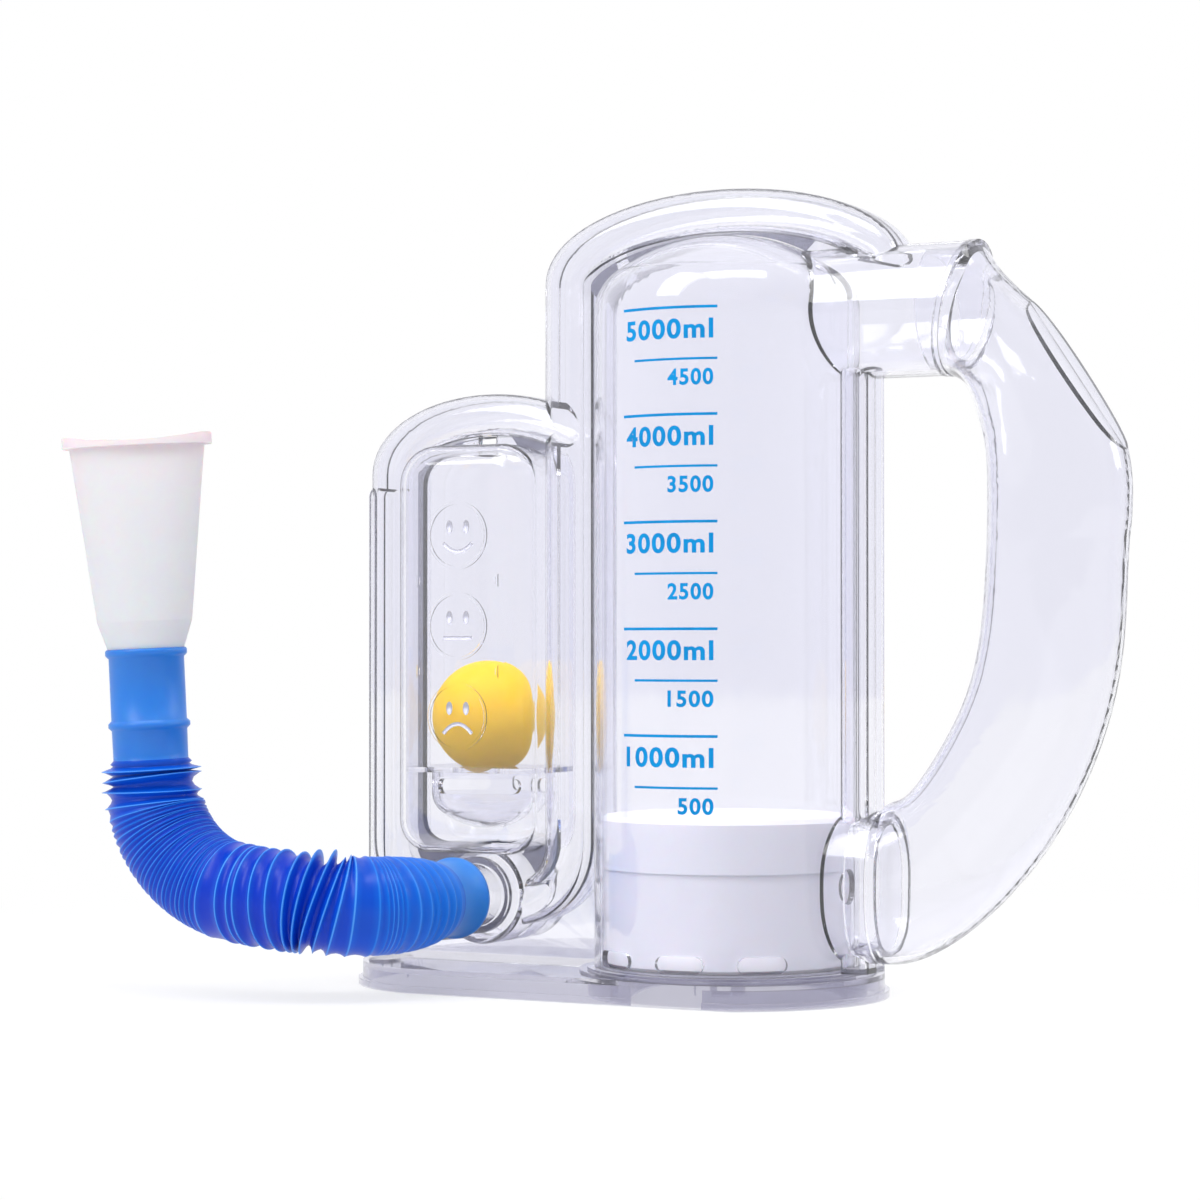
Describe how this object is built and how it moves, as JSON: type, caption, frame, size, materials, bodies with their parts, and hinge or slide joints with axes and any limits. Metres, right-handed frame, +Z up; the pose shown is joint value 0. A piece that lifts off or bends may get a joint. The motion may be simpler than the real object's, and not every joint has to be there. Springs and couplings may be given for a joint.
{
  "type": "incentive spirometer",
  "caption": "Handheld breathing exerciser: clear chamber with a rising piston and printed scale, flow ball column, looped handle, corrugated hose and mouthpiece.",
  "frame": {"origin": "on the volume chamber's axis, in the plane of the surface that the foot stands on", "axes": "+Z up, -Y to the front with the scale and the flow column, +X to the handle"},
  "size_m": [0.3522, 0.1578, 0.277],
  "materials": {
    "clear_foot": "clear, polished",
    "clear_chamber": "clear, polished, with printed scale",
    "clear_shell": "clear, polished",
    "clear_handle": "clear, polished",
    "white_piston": "smooth moulded white",
    "yellow_ball": "satin moulded yellow",
    "clear_port": "clear, polished",
    "blue_cuff": "translucent blue, satin",
    "blue_hose": "corrugated blue, satin",
    "frosted_mouthpiece": "frosted white"
  },
  "bodies": {
    "housing": {"foot_plate": "clear_foot", "chamber_floor": "clear_foot", "volume_chamber": "clear_chamber", "front_shell": "clear_shell", "rear_shell": "clear_shell", "ball_seat": "clear_shell", "handle_front": "clear_handle", "handle_rear": "clear_handle", "handle_seal": "clear_handle", "hose_port": "clear_port"},
    "piston": {"piston_crown": "white_piston", "piston_skirt": "white_piston"},
    "ball": {"flow_ball": "yellow_ball"},
    "hose": {"port_cuff": "blue_cuff", "breathing_hose": "blue_hose", "mouth_cuff": "blue_cuff"},
    "mouthpiece": {"mouthpiece": "frosted_mouthpiece"}
  },
  "joints": [
    {"name": "piston_rise", "type": "slide", "parent": "housing", "child": "piston", "axis": [0, 0, 1], "range_m": [0, 0.174]},
    {"name": "ball_rise", "type": "slide", "parent": "housing", "child": "ball", "axis": [0, 0, 1], "range_m": [0, 0.074]},
    {"name": "hose_pull", "type": "slide", "parent": "housing", "child": "hose", "axis": [0, -1, 0], "range_m": [0, 0.03]},
    {"name": "mouthpiece_pull", "type": "slide", "parent": "hose", "child": "mouthpiece", "axis": [-0.0411, -0.0235, 0.9989], "range_m": [0, 0.03]}
  ]
}
